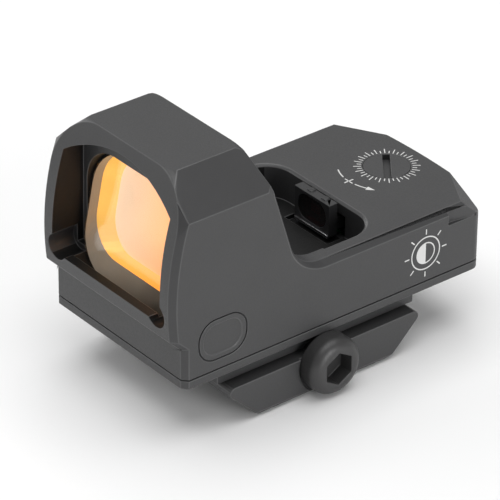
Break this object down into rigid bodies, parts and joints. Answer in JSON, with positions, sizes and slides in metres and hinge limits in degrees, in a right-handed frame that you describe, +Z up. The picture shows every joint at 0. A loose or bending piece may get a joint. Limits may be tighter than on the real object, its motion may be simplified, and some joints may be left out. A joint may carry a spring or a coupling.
{
  "type": "red dot finder",
  "caption": "Open micro reflex red dot finder: hooded tilted lens, rear deck with emitter well and adjusters, side button, coin cell inside, and a cross-bolt clamp for a 21 mm rail.",
  "frame": {"origin": "centre of the rail seat, on the clamp screw's line, in the plane of the rail's flat top", "axes": "+Y from the objective end to the user's end along the rail, +Z up, +X to the user's left, the clamp screw's side"},
  "size_m": [0.0307, 0.0513, 0.0364],
  "materials": {
    "anodised_black": "bead-blasted satin black anodise",
    "lens_coated": "polished, amber dichroic coating",
    "lens_clear": "polished",
    "black_rubber": "matt",
    "black_oxide_steel": "black oxide",
    "bright_steel": "plain",
    "cell_steel": "nickel plated",
    "contact_brass": "gold-flashed spring bronze",
    "slider_brass": "machined",
    "board_green": "solder mask",
    "chip_black": "moulded epoxy",
    "ribbon_amber": "polyimide film",
    "emitter_black": "moulded",
    "emitter_glass": "tinted, polished",
    "diode_red": "clear epoxy",
    "pad_foam": "closed-cell foam"
  },
  "bodies": {
    "sight": {"housing": "anodised_black", "front_lens": "lens_coated", "rear_lens": "lens_clear", "lens_seal": "black_rubber", "base_gasket": "black_rubber", "base_plate": "anodised_black", "base_screws": "black_oxide_steel", "mount_base": "anodised_black", "mount_screws": "black_oxide_steel", "battery": "cell_steel", "battery_pad": "pad_foam", "battery_contact": "contact_brass", "cell_clip": "contact_brass", "circuit_board": "board_green", "board_screws": "bright_steel", "controller_chip": "chip_black", "chip_parts": "chip_black", "switch_board": "board_green", "switch_dome": "bright_steel", "switch_ribbon": "ribbon_amber", "button_seal": "black_rubber", "elevation_oring": "black_rubber", "elevation_spring": "bright_steel", "guide_pins": "bright_steel", "windage_oring": "black_rubber", "windage_spring": "bright_steel", "spring_seat": "bright_steel"},
    "elevation_screw": {"elevation_screw": "anodised_black", "elevation_clip": "bright_steel"},
    "elevation_slider": {"elevation_slider": "slider_brass"},
    "windage_screw": {"windage_screw": "anodised_black", "windage_clip": "bright_steel"},
    "windage_nut": {"windage_nut": "slider_brass"},
    "emitter": {"emitter_head": "emitter_black", "emitter_window": "emitter_glass", "emitter_trim": "bright_steel", "emitter_diode": "diode_red"},
    "button": {"button_cap": "anodised_black"},
    "clamp_jaw": {"clamp_jaw": "anodised_black"},
    "clamp_screw": {"clamp_screw": "black_oxide_steel"}
  },
  "joints": [
    {"name": "elevation_turn", "type": "hinge", "parent": "sight", "child": "elevation_screw", "pos_m": [0, 0.0215, 0.0139], "axis": [0, 0, 1], "range_deg": [-440, 440]},
    {"name": "elevation_slide", "type": "slide", "parent": "sight", "child": "elevation_slider", "axis": [0, 0, 1], "range_m": [-0.00055, 0.00055], "deforming": ["elevation_spring"]},
    {"name": "windage_turn", "type": "hinge", "parent": "sight", "child": "windage_screw", "pos_m": [-0.0135, 0.01405, 0.0091], "axis": [-1, 0, 0], "range_deg": [-440, 440]},
    {"name": "windage_slide", "type": "slide", "parent": "sight", "child": "windage_nut", "axis": [1, 0, 0], "range_m": [-0.00055, 0.00055]},
    {"name": "emitter_slide", "type": "slide", "parent": "elevation_slider", "child": "emitter", "axis": [1, 0, 0], "range_m": [-0.00055, 0.00055], "deforming": ["windage_spring"]},
    {"name": "button_press", "type": "slide", "parent": "sight", "child": "button", "axis": [-1, 0, 0], "range_m": [0, 0.0004], "stiffness_N_per_m": 2000},
    {"name": "jaw_slide", "type": "slide", "parent": "sight", "child": "clamp_jaw", "axis": [1, 0, 0], "range_m": [0, 0.0024]},
    {"name": "clamp_turn", "type": "hinge", "parent": "clamp_jaw", "child": "clamp_screw", "pos_m": [0.014, 0, -0.0005], "axis": [1, 0, 0], "range_deg": [0, 1080]}
  ],
  "couplings": [
    {"joint": "elevation_turn", "follows": "elevation_slide", "rad_per_m": -13963},
    {"joint": "windage_turn", "follows": "windage_slide", "rad_per_m": 13963},
    {"joint": "emitter_slide", "follows": "windage_slide", "ratio": 1},
    {"joint": "clamp_turn", "follows": "jaw_slide", "rad_per_m": 7854}
  ]
}
